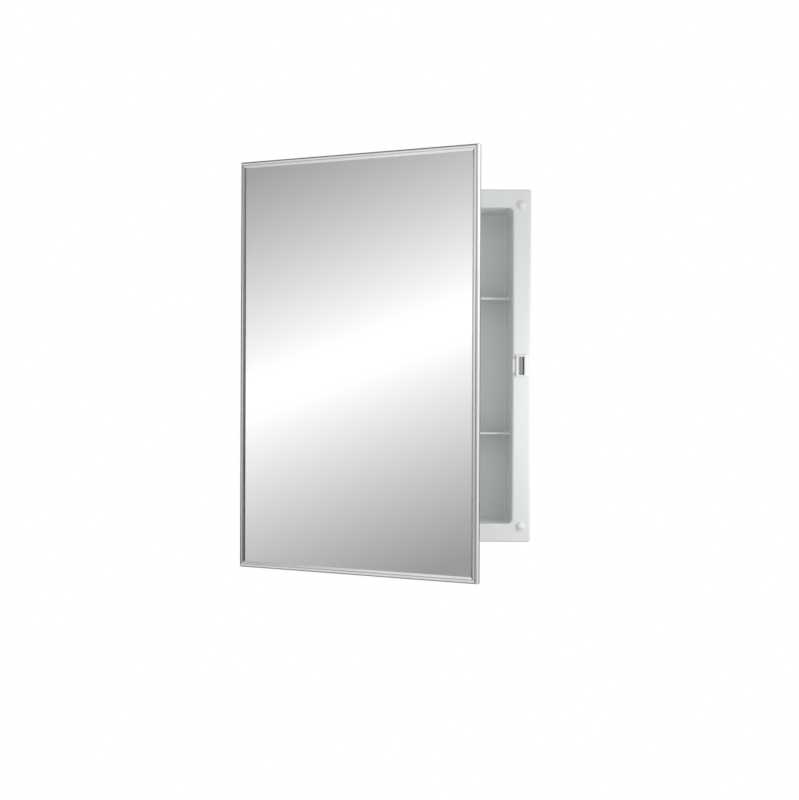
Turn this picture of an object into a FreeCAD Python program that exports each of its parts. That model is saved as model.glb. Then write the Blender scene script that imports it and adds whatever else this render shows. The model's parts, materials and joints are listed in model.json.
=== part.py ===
# Recessed medicine cabinet with a framed mirror door, in millimetres.
# +X is to the right, -Y towards the viewer and +Z up. The origin is the centre of the opening in
# the wall plane, which is the rear face of the flange's rim. The tub goes back into the wall, +Y.
# Door pieces are drawn closed, about the hinge axis, and every door body then swings by open_angle.
import FreeCAD, Part
import math
import os
import re
import Sketcher

os.makedirs("parts", exist_ok=True)
doc = FreeCAD.newDocument("medicine_cabinet")

# Driving dimensions: name, value, meaning.
dimensions = [
    # cabinet
    ("opening_width", 336.55, "opening width at the flange face"),
    ("opening_height", 438.15, "opening height at the flange face"),
    ("side_margin", 25.4, "flange beside the opening"),
    ("end_margin", 25.4, "flange above and below the opening"),
    ("flange_depth", 6.0, "flange front face to wall plane"),
    ("flange_skin", 2.5, "thickness of the flange's face and rim"),
    ("flange_corner", 4.0, "outer corner radius of the flange"),
    ("flange_round", 2.5, "rounding of the flange's front edge"),
    ("opening_corner", 7.0, "corner radius of the opening"),
    ("opening_round", 3.0, "rounding of the opening's front edge"),
    ("tub_depth", 82.5, "wall plane to the outside of the back"),
    ("tub_wall", 2.5, "wall thickness of the tub"),
    ("tub_draft", 2.6, "moulding draft of the tub's sides, degrees"),
    ("floor_round", 6.0, "rounding between the tub's sides and its back"),
    ("boss_radius", 7.0, "side screw boss, outer radius"),
    ("boss_proud", 1.3, "side screw boss, stand-off beyond the tub's widest wall"),
    ("screw_hole_radius", 2.4, "side screw hole, radius"),
    ("screw_spacing", 280.0, "side screw holes, vertical spacing"),
    ("screw_depth", 45.0, "side screw holes, distance behind the wall plane"),
    # shelves
    ("shelf_spacing", 188.5, "distance between the two shelves"),
    ("shelf_setback", 26.5, "flange face to the shelf's front edge"),
    ("shelf_thick", 2.4, "shelf plate thickness"),
    ("shelf_bead", 1.5, "radius of the bead along the shelf's front edge"),
    ("shelf_clearance", 0.2, "gap between the shelf and the tub's walls and upper rails"),
    ("rail_thick", 1.5, "shelf rail thickness"),
    ("rail_reach", 2.5, "how far a rail stands out of the wall at the back"),
    # door
    ("side_overhang", 9.525, "door beyond the flange at each side"),
    ("end_overhang", 34.925, "door beyond the flange at top and bottom"),
    ("door_thick", 9.525, "door, overall thickness"),
    ("door_gap", 5.0, "flange face to the closed door's rear face"),
    ("open_angle", 38.2, "how far the door stands open, degrees"),
    ("frame_sheet", 0.6, "frame sheet thickness"),
    ("frame_lip", 8.4, "frame's front lip, width"),
    ("bevel_width", 2.8, "sloped inner part of the front lip, width"),
    ("bevel_depth", 1.5, "sloped inner part of the front lip, depth"),
    ("frame_corner", 2.4, "outer radius between the front lip and the side"),
    ("side_flat", 3.725, "flat part of the frame's side"),
    ("frame_hem", 1.2, "how far the rear of the side is tucked in"),
    ("hem_curve", 6.0, "radius of the tucked-in part"),
    ("glass_thick", 3.0, "mirror glass thickness"),
    ("glass_clearance", 0.4, "gap between the corner keys and the glass"),
    ("panel_thick", 0.7, "door back panel thickness"),
    ("key_width", 2.0, "corner key, width of its arms"),
    ("key_length", 26.0, "corner key, length of its arms"),
    # hinge
    ("hinge_offset", 3.5, "hinge axis beyond the flange's side edge"),
    ("hinge_margin", 9.475, "end of the hinge from the flange's top or bottom edge"),
    ("knuckle_count", 25, "hinge knuckles, an odd number"),
    ("knuckle_radius", 2.2, "outer radius of a knuckle"),
    ("knuckle_gap", 0.3, "end play between knuckles, and from knuckle to leaf"),
    ("pin_radius", 1.2, "hinge pin radius"),
    ("pin_clearance", 0.05, "radial clearance of the pin"),
    ("pin_head", 0.8, "thickness of the pin's staked ends"),
    ("leaf_thick", 0.9, "hinge leaf thickness"),
    ("leaf_width", 12.7, "hinge axis to the leaf's free edge"),
    ("door_rivet_line", 6.8, "hinge axis to the door leaf's rivets"),
    ("flange_rivet_line", 9.0, "hinge axis to the cabinet leaf's rivets"),
    ("door_rivet_count", 4, "rivets in the door leaf"),
    ("flange_rivet_count", 5, "rivets in the cabinet leaf"),
    # rivets
    ("rivet_radius", 1.5, "rivet shank radius"),
    ("rivet_clearance", 0.1, "radial clearance of a rivet in its hole"),
    ("rivet_head", 2.5, "rivet head radius"),
    ("rivet_rise", 1.0, "rivet head height"),
    ("rivet_tail", 1.2, "height of a rivet's formed end behind the flange"),
    ("pad_filled", 0.4, "share of the mirror pad's thickness that the door rivets' ends take up"),
    ("pad_hole_clearance", 0.5, "mirror pad's holes around the rivets' ends"),
    # catch and bumpers
    ("catch_inset", 12.9, "flange's side edge to the catch's centre"),
    ("catch_width", 15.7, "catch housing, width"),
    ("catch_height", 29.6, "catch housing, height"),
    ("catch_neck_width", 11.0, "part of the housing behind the flange, width"),
    ("catch_neck_height", 27.4, "part of the housing behind the flange, height"),
    ("catch_neck_depth", 3.0, "part of the housing behind the flange, depth"),
    ("catch_barb", 0.9, "snap barbs of the housing, how far they stand out"),
    ("catch_round", 1.2, "rounding of the housing's front edge"),
    ("tab_reach", 4.0, "housing's side tab, width"),
    ("tab_height", 18.0, "housing's side tab, height"),
    ("tab_thick", 1.2, "housing's side tab, thickness"),
    ("magnet_width", 7.8, "magnet and poles together, width"),
    ("magnet_height", 25.5, "magnet and poles, height"),
    ("magnet_depth", 7.6, "magnet and poles, depth from the housing's face"),
    ("magnet_back", 2.4, "magnet behind the steel poles"),
    ("magnet_recess", 0.5, "magnet face behind the housing's face"),
    ("pole_thick", 2.4, "steel pole, thickness"),
    ("pole_pitch", 2.8, "steel poles, distance between centres"),
    ("pole_proud", 0.3, "steel poles, how far they stand out of the housing"),
    ("catch_gap", 0.3, "poles to strike with the door closed"),
    ("fit_clearance", 0.1, "catch in the flange's cut-out"),
    ("strike_thick", 1.0, "strike plate thickness"),
    ("strike_width", 12.0, "strike plate width"),
    ("strike_margin", 0.5, "strike plate to the frame's rear lip"),
    ("strike_height", 48.0, "strike plate height"),
    ("strike_rivets", 38.0, "strike plate rivets, spacing"),
    ("bumper_radius", 5.7, "bumper dome radius"),
    ("bumper_rim", 1.0, "height of the bumper's straight edge"),
    ("bumper_gap", 0.3, "bumper to door with the door closed"),
    ("bumper_stem", 2.5, "bumper stem radius"),
    ("bumper_barb", 3.3, "bumper barb radius"),
    ("bumper_setback", 0.5, "end of the bumper's stem in front of the wall plane"),
    ("bumper_side", 13.4, "bumper centre from the flange's side edge"),
    ("bumper_end", 22.0, "bumper centre from the flange's top or bottom edge"),
]
sheet = doc.addObject("Spreadsheet::Sheet", "dims")
for row, (alias, number, meaning) in enumerate(dimensions, start=1):
    sheet.set(f"A{row}", meaning)
    sheet.set(f"B{row}", str(number))
    sheet.setAlias(f"B{row}", alias)
doc.recompute()
aliases = {alias for alias, number, meaning in dimensions}

# Worked-out sizes, as expressions of the driving dimensions.
opening_side = "(opening_width / 2)"
opening_top = "(opening_height / 2)"
flange_side = "(opening_width / 2 + side_margin)"
flange_top = "(opening_height / 2 + end_margin)"
door_half = "(opening_width / 2 + side_margin + side_overhang)"
door_top = "(opening_height / 2 + end_margin + end_overhang)"
hinge_reach = "(opening_width / 2 + side_margin + hinge_offset)"  # cabinet's centre to the hinge axis
door_left = "(hinge_offset - side_overhang)"  # from the hinge axis
door_right = "(opening_width + 2 * side_margin + hinge_offset + side_overhang)"
hinge_length = "(opening_height + 2 * end_margin - 2 * hinge_margin)"
knuckle_length = f"({hinge_length} / knuckle_count)"
rivet_spacing = f"({hinge_length} / flange_rivet_count)"
leaf_face = "(door_gap / 2)"  # hinge axis to the outer face of each leaf
door_rear = "(-door_gap / 2)"
door_front = "(-door_gap / 2 - door_thick)"
glass_front = "(-door_gap / 2 - door_thick + bevel_depth + frame_sheet)"
glass_rear = "(-door_gap / 2 - door_thick + bevel_depth + frame_sheet + glass_thick)"
panel_rear = "(-door_gap / 2 - frame_sheet)"
panel_front = "(-door_gap / 2 - frame_sheet - panel_thick)"
pad_thick = "(door_thick - bevel_depth - 2 * frame_sheet - glass_thick - panel_thick)"
key_inset = "(frame_hem + frame_sheet)"
glass_inset = "(frame_hem + frame_sheet + key_width + glass_clearance)"
rivet_hole = "(rivet_radius + rivet_clearance)"
catch_side = "(opening_width / 2 + side_margin - catch_inset)"
back_lip = "(side_overhang + catch_inset - strike_width / 2 - strike_margin)"
strike_rear = "(-door_gap / 2 - frame_sheet + strike_thick)"
pole_rise = "(door_gap + frame_sheet - strike_thick - catch_gap)"  # flange face to the poles' faces
housing_rise = "(door_gap + frame_sheet - strike_thick - catch_gap - pole_proud)"


def tub_inside(depth):
    """Half width of the tub's inside at a depth behind the flange's face."""
    return f"(opening_width / 2 - ({depth}) * tan(tub_draft))"


def bound(text):
    """The expression with each driving dimension's name turned into its cell."""
    return re.sub(r"[a-z_]+", lambda word: ("dims." if word[0] in aliases else "") + word[0], text)


def value(text):
    return float(sheet.evalExpression(bound(text)))


def new_body(label, in_door=False):
    body = doc.addObject("PartDesign::Body", label)
    body.Label = label
    if in_door:
        swing = FreeCAD.Rotation(FreeCAD.Vector(0, 0, -1), value("open_angle"))
        body.Placement = FreeCAD.Placement(FreeCAD.Vector(), swing)
        body.setExpression("Placement.Rotation.Angle", bound("open_angle"))
        body.setExpression("Placement.Base.x", bound(f"-{hinge_reach}"))
        body.setExpression("Placement.Base.y", bound("-flange_depth - door_gap / 2"))
    return body


def new_sketch(body, name, plane, offset="0"):
    """A sketch on one of the body's origin planes, moved along the plane's normal by offset."""
    sketch = body.newObject("Sketcher::SketchObject", f"{body.Name}_{name}")
    support = next(item for item in body.Origin.OriginFeatures if item.Role == plane)
    sketch.AttachmentSupport = [(support, "")]
    sketch.MapMode = "FlatFace"
    sketch.setExpression("AttachmentOffset.Base.z", bound(offset))
    return sketch


def fix(sketch, kind, geometry, point, text):
    """A named size constraint, from the sketch's origin or on the geometry, bound to an expression."""
    if kind == "Radius":
        constraint = Sketcher.Constraint(kind, geometry, value(text))
    else:
        constraint = Sketcher.Constraint(kind, -1, 1, geometry, point, value(text))
    index = sketch.addConstraint(constraint)
    name = f"{kind.lower()}_{geometry}_{point}"
    sketch.renameConstraint(index, name)
    sketch.setExpression(f"Constraints.{name}", bound(text))


def arc_middle(start, end, radius):
    """The middle of the short arc from start to end, left of that direction for a positive radius."""
    chord = end - start
    side = FreeCAD.Vector(-chord.y, chord.x, 0).normalize()
    rise = abs(radius) - math.sqrt(radius ** 2 - (chord.Length / 2) ** 2)
    return (start + end) / 2 + side * math.copysign(rise, radius)


def outline(sketch, corners):
    """A closed outline of (x, y) corners; (x, y, radius) makes the side that starts there an arc."""
    places = [FreeCAD.Vector(value(corner[0]), value(corner[1]), 0) for corner in corners]
    first = sketch.GeometryCount
    ends = []
    for index, corner in enumerate(corners):
        start, end = places[index], places[(index + 1) % len(corners)]
        radius = value(corner[2]) if len(corner) == 3 else 0
        if radius:
            middle = arc_middle(start, end, radius)
            # Arcs are always drawn anticlockwise, so a clockwise one is drawn from its end.
            side = Part.Arc(end, middle, start) if radius > 0 else Part.Arc(start, middle, end)
        else:
            side = Part.LineSegment(start, end)
        sketch.addGeometry(side, False)
        ends.append((2, 1) if radius > 0 else (1, 2))
    for index, corner in enumerate(corners):
        after = (index + 1) % len(corners)
        sketch.addConstraint(
            Sketcher.Constraint("Coincident", first + index, ends[index][1], first + after, ends[after][0])
        )
        fix(sketch, "DistanceX", first + index, ends[index][0], corner[0])
        fix(sketch, "DistanceY", first + index, ends[index][0], corner[1])
        if len(corner) == 3:
            fix(sketch, "Radius", first + index, 0, f"abs({corner[2]})")


def rectangle(sketch, left, right, low, high):
    outline(sketch, [(left, low), (right, low), (right, high), (left, high)])


def circle(sketch, across, up, radius):
    centre = FreeCAD.Vector(value(across), value(up), 0)
    round_edge = Part.Circle(centre, FreeCAD.Vector(0, 0, 1), value(radius))
    geometry = sketch.addGeometry(round_edge, False)
    fix(sketch, "DistanceX", geometry, 3, across)
    fix(sketch, "DistanceY", geometry, 3, up)
    fix(sketch, "Radius", geometry, 0, radius)


def settle(feature):
    """Recomputes the document, and stops at a feature that has failed."""
    doc.recompute()
    if "Invalid" in feature.State or feature.Shape.isNull():
        raise ValueError(f"{feature.Name} failed: {feature.getStatusString()}")
    return feature


def pad(sketch, length, centred=False, backwards=False, draft=None):
    """Adds the sketch's area, extruded along the sketch's normal."""
    body = sketch.getParentGeoFeatureGroup()
    feature = body.newObject("PartDesign::Pad", f"{sketch.Name}_pad")
    feature.Profile = sketch
    feature.SideType = "Symmetric" if centred else "One side"
    feature.Reversed = backwards
    feature.setExpression("Length", bound(length))
    if draft:
        feature.setExpression("TaperAngle", bound(f"-{draft}"))
    return settle(feature)


def pocket(sketch, depth=None, backwards=False, draft=None):
    """Cuts the sketch's area, against the sketch's normal, or right through both ways."""
    body = sketch.getParentGeoFeatureGroup()
    volume = body.Shape.Volume
    feature = body.newObject("PartDesign::Pocket", f"{sketch.Name}_pocket")
    feature.Profile = sketch
    feature.Reversed = backwards
    if depth:
        feature.setExpression("Length", bound(depth))
    else:
        feature.SideType = "Symmetric"
        feature.Type = "ThroughAll"
    if draft:
        feature.setExpression("TaperAngle", bound(f"-{draft}"))
    settle(feature)
    if body.Shape.Volume > volume - 0.001:
        raise ValueError(f"{feature.Name} cuts nothing")
    return feature


def revolve(sketch, axis):
    body = sketch.getParentGeoFeatureGroup()
    feature = body.newObject("PartDesign::Revolution", f"{sketch.Name}_turned")
    feature.Profile = sketch
    feature.ReferenceAxis = (sketch, [axis])
    feature.Angle = 360
    return settle(feature)


def column(feature, sketch, count, spacing):
    """Repeats a feature upwards, along the sketch's vertical axis."""
    body = sketch.getParentGeoFeatureGroup()
    pattern = body.newObject("PartDesign::LinearPattern", f"{sketch.Name}_column")
    pattern.Originals = [feature]
    pattern.Direction = (sketch, ["V_Axis"])
    pattern.setExpression("Length", bound(f"({count} - 1) * {spacing}"))
    pattern.setExpression("Occurrences", bound(count))
    body.Tip = pattern
    settle(pattern)


def fillet(body, name, radius, chosen):
    """Rounds the edges of the body's last feature for which chosen(middle, box) is true."""
    base = body.Tip
    names = []
    for index, edge in enumerate(base.Shape.Edges, start=1):
        middle = edge.valueAt((edge.FirstParameter + edge.LastParameter) / 2)
        if chosen(middle, edge.BoundBox):
            names.append(f"Edge{index}")
    if not names:
        raise ValueError(f"{body.Name} {name}: no edge to round")
    feature = body.newObject("PartDesign::Fillet", f"{body.Name}_{name}")
    feature.Base = (base, names)
    feature.setExpression("Radius", bound(radius))
    settle(feature)


def near(first, second, tolerance=0.05):
    return abs(first - second) < tolerance


# ---- cabinet shell: flange with a returned rim, drafted tub, shelf rails and screw bosses ----
def make_shell():
    body = new_body("cabinet_shell")
    face_plane = -value("flange_depth")
    floor = value("tub_depth - tub_wall")
    back = value("tub_depth")

    block = new_sketch(body, "flange", "XZ_Plane")
    rectangle(block, f"-{flange_side}", flange_side, f"-{flange_top}", flange_top)
    pad(block, "flange_depth")

    def at_corner(middle, box):
        return near(abs(middle.x), value(flange_side)) and near(abs(middle.z), value(flange_top))

    fillet(body, "corners", "flange_corner", at_corner)

    def on_front_edge(middle, box):
        return near(box.YMin, face_plane) and near(box.YMax, face_plane)

    fillet(body, "front_edge", "flange_round", on_front_edge)

    hollow = new_sketch(body, "hollow", "XZ_Plane")
    side, top = f"({flange_side} - flange_skin)", f"({flange_top} - flange_skin)"
    rectangle(hollow, f"-{side}", side, f"-{top}", top)
    pocket(hollow, "flange_depth - flange_skin", backwards=True)

    tub = new_sketch(body, "tub", "XZ_Plane", "flange_depth")
    side, top = f"({opening_side} + tub_wall)", f"({opening_top} + tub_wall)"
    rectangle(tub, f"-{side}", side, f"-{top}", top)
    pad(tub, "flange_depth + tub_depth", backwards=True, draft="tub_draft")

    inside = new_sketch(body, "inside", "XZ_Plane", "flange_depth")
    rectangle(inside, f"-{opening_side}", opening_side, f"-{opening_top}", opening_top)
    pocket(inside, "flange_depth + tub_depth - tub_wall", draft="tub_draft")
    slope = math.tan(math.radians(value("tub_draft")))

    def along_wall(middle, box, outwards):
        """An edge that runs down the tub's inner or outer side, outwards from the inner face."""
        side = value(opening_side) - (middle.y - face_plane) * slope + outwards
        return box.YLength > back / 2 and near(abs(middle.x), side, 0.3)

    def on_inside_corner(middle, box):
        return along_wall(middle, box, 0)

    fillet(body, "inside_corners", "opening_corner", on_inside_corner)

    def on_outside_corner(middle, box):
        return along_wall(middle, box, value("tub_wall"))

    fillet(body, "outside_corners", "opening_corner + tub_wall", on_outside_corner)

    def around_floor(middle, box):
        return near(box.YMin, floor) and near(box.YMax, floor)

    fillet(body, "floor", "floor_round", around_floor)

    def around_back(middle, box):
        return near(box.YMin, back) and near(box.YMax, back)

    fillet(body, "back_edge", "floor_round + tub_wall", around_back)

    def around_opening(middle, box):
        flat = near(box.YMin, face_plane) and near(box.YMax, face_plane)
        return flat and abs(middle.x) < value(opening_side) + 0.1 and abs(middle.z) < value(opening_top) + 0.1

    fillet(body, "opening_edge", "opening_round", around_opening)
    add_rails(body)
    add_bosses(body)
    cut_flange(body)


def shelf_levels():
    return (("upper", "(shelf_spacing / 2)"), ("lower", "(-shelf_spacing / 2)"))


def add_rails(body):
    """A pair of rails on each side wall for each shelf, one under and one over it."""
    front = "(shelf_setback + 2 * shelf_bead + rail_thick)"  # behind the flange's face
    rear = "(flange_depth + tub_depth - tub_wall / 2)"
    reach = f"({tub_inside('flange_depth + tub_depth - tub_wall')} - rail_reach)"
    for name, level in shelf_levels():
        over = f"({level} + shelf_thick / 2 + shelf_clearance)"
        under = f"({level} - shelf_thick / 2 - rail_thick)"
        for place, height in (("over", over), ("under", under)):
            rails = new_sketch(body, f"{name}_rail_{place}", "XY_Plane", height)
            for hand in ("", "-"):
                outline(
                    rails,
                    [
                        (hand + reach, f"{front} - flange_depth"),
                        (f"{hand}({tub_inside(front)} + tub_wall / 2)", f"{front} - flange_depth"),
                        (f"{hand}({tub_inside(rear)} + tub_wall / 2)", f"{rear} - flange_depth"),
                        (hand + reach, f"{rear} - flange_depth"),
                    ],
                )
            pad(rails, "rail_thick")


def add_bosses(body):
    """Flat screw bosses on the tub's sides, drilled for the screws into the wall's studs."""
    start = f"({tub_inside('flange_depth + screw_depth')} + tub_wall / 2)"
    reach = f"({opening_side} + tub_wall + boss_proud)"
    for name, hand in (("right", ""), ("left", "-")):
        bosses = new_sketch(body, f"{name}_bosses", "YZ_Plane", hand + start)
        for end in ("", "-"):
            circle(bosses, "screw_depth", f"{end}screw_spacing / 2", "boss_radius")
        pad(bosses, f"{reach} - {start}", backwards=name == "left")
    holes = new_sketch(body, "screw_holes", "YZ_Plane")
    for end in ("", "-"):
        circle(holes, "screw_depth", f"{end}screw_spacing / 2", "screw_hole_radius")
    pocket(holes)


def cut_flange(body):
    """Holes in the flange for the hinge rivets, the bumpers and the catch."""
    rivets = new_sketch(body, "rivet_holes", "XZ_Plane", "flange_depth")
    circle(
        rivets,
        f"-{hinge_reach} + flange_rivet_line",
        f"-(flange_rivet_count - 1) * {rivet_spacing} / 2",
        rivet_hole,
    )
    column(pocket(rivets, "flange_depth"), rivets, "flange_rivet_count", rivet_spacing)

    openings = new_sketch(body, "catch_and_bumper_holes", "XZ_Plane", "flange_depth")
    for end in ("", "-"):
        circle(openings, f"{flange_side} - bumper_side", f"{end}({flange_top} - bumper_end)", "bumper_stem")
    half_width = "(catch_neck_width / 2 + fit_clearance)"
    half_height = "(catch_neck_height / 2 + fit_clearance)"
    rectangle(
        openings,
        f"{catch_side} - {half_width}",
        f"{catch_side} + {half_width}",
        f"-{half_height}",
        half_height,
    )
    pocket(openings, "flange_depth")


# ---- shelves, which slide in between their rails ----
def make_shelf(name, level):
    body = new_body(f"{name}_shelf")
    front, rear = "shelf_setback", "(flange_depth + tub_depth - tub_wall - shelf_clearance)"
    nose = "(shelf_setback + shelf_bead)"
    plate = new_sketch(body, "plate", "XY_Plane", f"{level} - shelf_thick / 2")
    front_side = f"({tub_inside(nose)} - shelf_clearance)"
    rear_side = f"({tub_inside(rear)} - shelf_clearance)"
    outline(
        plate,
        [
            (f"-{front_side}", f"{nose} - flange_depth"),
            (front_side, f"{nose} - flange_depth"),
            (rear_side, f"{rear} - flange_depth"),
            (f"-{rear_side}", f"{rear} - flange_depth"),
        ],
    )
    pad(plate, "shelf_thick")

    def at_rear_corner(middle, box):
        return box.ZLength > value("shelf_thick") / 2 and middle.y > value("tub_depth") / 2

    fillet(body, "rear_corners", "floor_round + shelf_clearance", at_rear_corner)
    bead = new_sketch(body, "bead", "YZ_Plane")
    circle(bead, f"{front} + shelf_bead - flange_depth", level, "shelf_bead")
    bead_side = f"({tub_inside(f'{front} + 2 * shelf_bead')} - shelf_clearance)"
    pad(bead, f"2 * {bead_side}", centred=True)


# ---- bumpers: soft domes with a stem pushed through the flange ----
def make_bumper(name, hand):
    body = new_body(f"bumper_{name}")
    profile = new_sketch(body, "profile", "XY_Plane")
    rise = "(door_gap + frame_sheet - bumper_gap)"
    dome = f"(({rise} - bumper_rim)^2 + bumper_radius^2) / (2 * ({rise} - bumper_rim))"
    outline(
        profile,
        [
            ("0", f"-{rise}", f"-({dome})"),
            ("bumper_radius", "-bumper_rim"),
            ("bumper_radius", "0"),
            ("bumper_stem", "0"),
            ("bumper_stem", "flange_skin"),
            ("bumper_barb", "flange_skin"),
            ("bumper_stem / 2", "flange_depth - bumper_setback"),
            ("0", "flange_depth - bumper_setback"),
        ],
    )
    revolve(profile, "V_Axis")
    body.setExpression("Placement.Base.x", bound(f"{flange_side} - bumper_side"))
    body.setExpression("Placement.Base.y", bound("-flange_depth"))
    body.setExpression("Placement.Base.z", bound(f"{hand}({flange_top} - bumper_end)"))


# ---- magnetic catch: snap-in housing, magnet and two steel poles ----
def place_catch(body):
    body.setExpression("Placement.Base.x", bound(catch_side))
    body.setExpression("Placement.Base.y", bound("-flange_depth"))


def make_catch():
    half_width, half_height = "(catch_width / 2)", "(catch_height / 2)"
    housing = new_body("catch_housing")
    place_catch(housing)
    face = new_sketch(housing, "face", "XZ_Plane")
    rectangle(face, f"-{half_width}", half_width, f"-{half_height}", half_height)
    pad(face, housing_rise)

    def on_face(middle, box):
        return near(box.YMin, -value(housing_rise)) and near(box.YMax, -value(housing_rise))

    fillet(housing, "face_edge", "catch_round", on_face)
    tab = new_sketch(housing, "tab", "XZ_Plane")
    rectangle(tab, f"-{half_width} - tab_reach", "0", "-tab_height / 2", "tab_height / 2")
    pad(tab, "tab_thick")
    neck = new_sketch(housing, "neck", "XZ_Plane")
    neck_side, neck_top = "(catch_neck_width / 2)", "(catch_neck_height / 2)"
    rectangle(neck, f"-{neck_side}", neck_side, f"-{neck_top}", neck_top)
    pad(neck, "flange_skin + catch_neck_depth", backwards=True)
    barbs = new_sketch(housing, "barbs", "YZ_Plane")
    for hand in ("", "-"):
        outline(
            barbs,
            [
                ("flange_skin", f"{hand}{neck_top}"),
                ("flange_skin", f"{hand}({neck_top} + catch_barb)"),
                ("flange_skin + catch_barb", f"{hand}({neck_top} + catch_barb)"),
                ("flange_skin + catch_neck_depth", f"{hand}{neck_top}"),
            ],
        )
    pad(barbs, "catch_neck_width / 2", centred=True)
    cavity = new_sketch(housing, "cavity", "XZ_Plane", housing_rise)
    rectangle(cavity, "-magnet_width / 2", "magnet_width / 2", "-magnet_height / 2", "magnet_height / 2")
    pocket(cavity, "magnet_depth")

    # From the left: pole, a thin slice of magnet, pole, and the rest of the magnet.
    poles = {
        "left": "(-magnet_width / 2)",
        "right": "(-magnet_width / 2 + pole_pitch)",
    }
    for name, left in poles.items():
        pole = new_body(f"catch_pole_{name}")
        place_catch(pole)
        front = new_sketch(pole, "front", "XZ_Plane", pole_rise)
        rectangle(front, left, f"{left} + pole_thick", "-magnet_height / 2", "magnet_height / 2")
        pad(front, "magnet_depth + pole_proud - magnet_back", backwards=True)
    magnet = new_body("catch_magnet")
    place_catch(magnet)
    front = new_sketch(magnet, "front", "XZ_Plane", f"{housing_rise} - magnet_recess")
    rectangle(front, "-magnet_width / 2", "magnet_width / 2", "-magnet_height / 2", "magnet_height / 2")
    pad(front, "magnet_depth - magnet_recess", backwards=True)
    slots = new_sketch(magnet, "pole_slots", "XZ_Plane", housing_rise)
    for left in poles.values():
        rectangle(slots, left, f"{left} + pole_thick", "-magnet_height / 2", "magnet_height / 2")
    pocket(slots, "magnet_depth - magnet_back")


# ---- continuous hinge ----
def make_leaf(label, face, in_door, rivet_line, rivet_count, own_ends):
    """A hinge leaf on the given side of the axis, with every other knuckle cut away.

    own_ends says that the leaf has the end knuckles.
    """
    body = new_body(label, in_door)
    if not in_door:
        body.setExpression("Placement.Base.x", bound(f"-{hinge_reach}"))
        body.setExpression("Placement.Base.y", bound("-flange_depth - door_gap / 2"))
    inner = f"{face}({leaf_face} - leaf_thick)"
    strip = new_sketch(body, "strip", "XY_Plane")
    rectangle(strip, "0", "leaf_width", inner, face + leaf_face)
    pad(strip, hinge_length, centred=True)
    barrel = new_sketch(body, "barrel", "XY_Plane")
    circle(barrel, "0", "0", "knuckle_radius")
    pad(barrel, hinge_length, centred=True)
    bore = new_sketch(body, "bore", "XY_Plane")
    circle(bore, "0", "0", "pin_radius + pin_clearance")
    pocket(bore)

    gaps = new_sketch(body, "knuckle_gaps", "XZ_Plane")
    missing = "(knuckle_count - 1) / 2" if own_ends else "(knuckle_count + 1) / 2"
    lowest = knuckle_length if own_ends else "0"
    bottom = f"(-{hinge_length} / 2 + {lowest} - knuckle_gap / 2)"
    rectangle(
        gaps,
        "-knuckle_radius - knuckle_gap",
        "knuckle_radius + knuckle_gap",
        bottom,
        f"{bottom} + {knuckle_length} + knuckle_gap",
    )
    column(pocket(gaps), gaps, f"({missing})", f"(2 * {knuckle_length})")

    holes = new_sketch(body, "rivet_holes", "XZ_Plane")
    circle(holes, rivet_line, f"-({rivet_count} - 1) * {rivet_spacing} / 2", rivet_hole)
    column(pocket(holes), holes, rivet_count, rivet_spacing)


def make_pin():
    body = new_body("hinge_pin")
    body.setExpression("Placement.Base.x", bound(f"-{hinge_reach}"))
    body.setExpression("Placement.Base.y", bound("-flange_depth - door_gap / 2"))
    profile = new_sketch(body, "profile", "XZ_Plane")
    end = f"({hinge_length} / 2)"
    staked = "(knuckle_radius - knuckle_gap)"
    outline(
        profile,
        [
            ("0", f"-{end} - pin_head"),
            (staked, f"-{end} - pin_head"),
            (staked, f"-{end}"),
            ("pin_radius", f"-{end}"),
            ("pin_radius", end),
            (staked, end),
            (staked, f"{end} + pin_head"),
            ("0", f"{end} + pin_head"),
        ],
    )
    revolve(profile, "V_Axis")


def make_rivets(label, in_door, across, head_face, tail_face, tail, lowest, count, spacing):
    """Dome-headed rivets. The head sits on head_face and the formed tail on tail_face."""
    body = new_body(label, in_door)
    if not in_door:
        body.setExpression("Placement.Base.x", bound(f"-{hinge_reach}"))
        body.setExpression("Placement.Base.y", bound("-flange_depth - door_gap / 2"))
    to_head = "" if value(head_face) > value(tail_face) else "-"
    dome = "((rivet_rise^2 + rivet_head^2) / (2 * rivet_rise))"
    turn = "-" if to_head else ""
    profile = new_sketch(body, "profile", "XY_Plane", lowest)
    outline(
        profile,
        [
            (across, f"{head_face} + ({to_head}rivet_rise)", f"{turn}{dome}"),
            (f"{across} + rivet_head", head_face),
            (f"{across} + rivet_radius", head_face),
            (f"{across} + rivet_radius", tail_face),
            (f"{across} + rivet_head", tail_face),
            (f"{across} + rivet_head", f"{tail_face} - ({to_head}{tail})"),
            (across, f"{tail_face} - ({to_head}{tail})"),
        ],
    )
    ends = [FreeCAD.Vector(value(across), value(face), 0) for face in (tail_face, head_face)]
    axis = Part.LineSegment(*ends)
    spine = profile.addGeometry(axis, True)
    profile.addConstraint(Sketcher.Constraint("Vertical", spine))
    fix(profile, "DistanceX", spine, 1, across)
    first = revolve(profile, "Axis0")
    upright = new_sketch(body, "upright", "XZ_Plane")
    column(first, upright, count, spacing)


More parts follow.
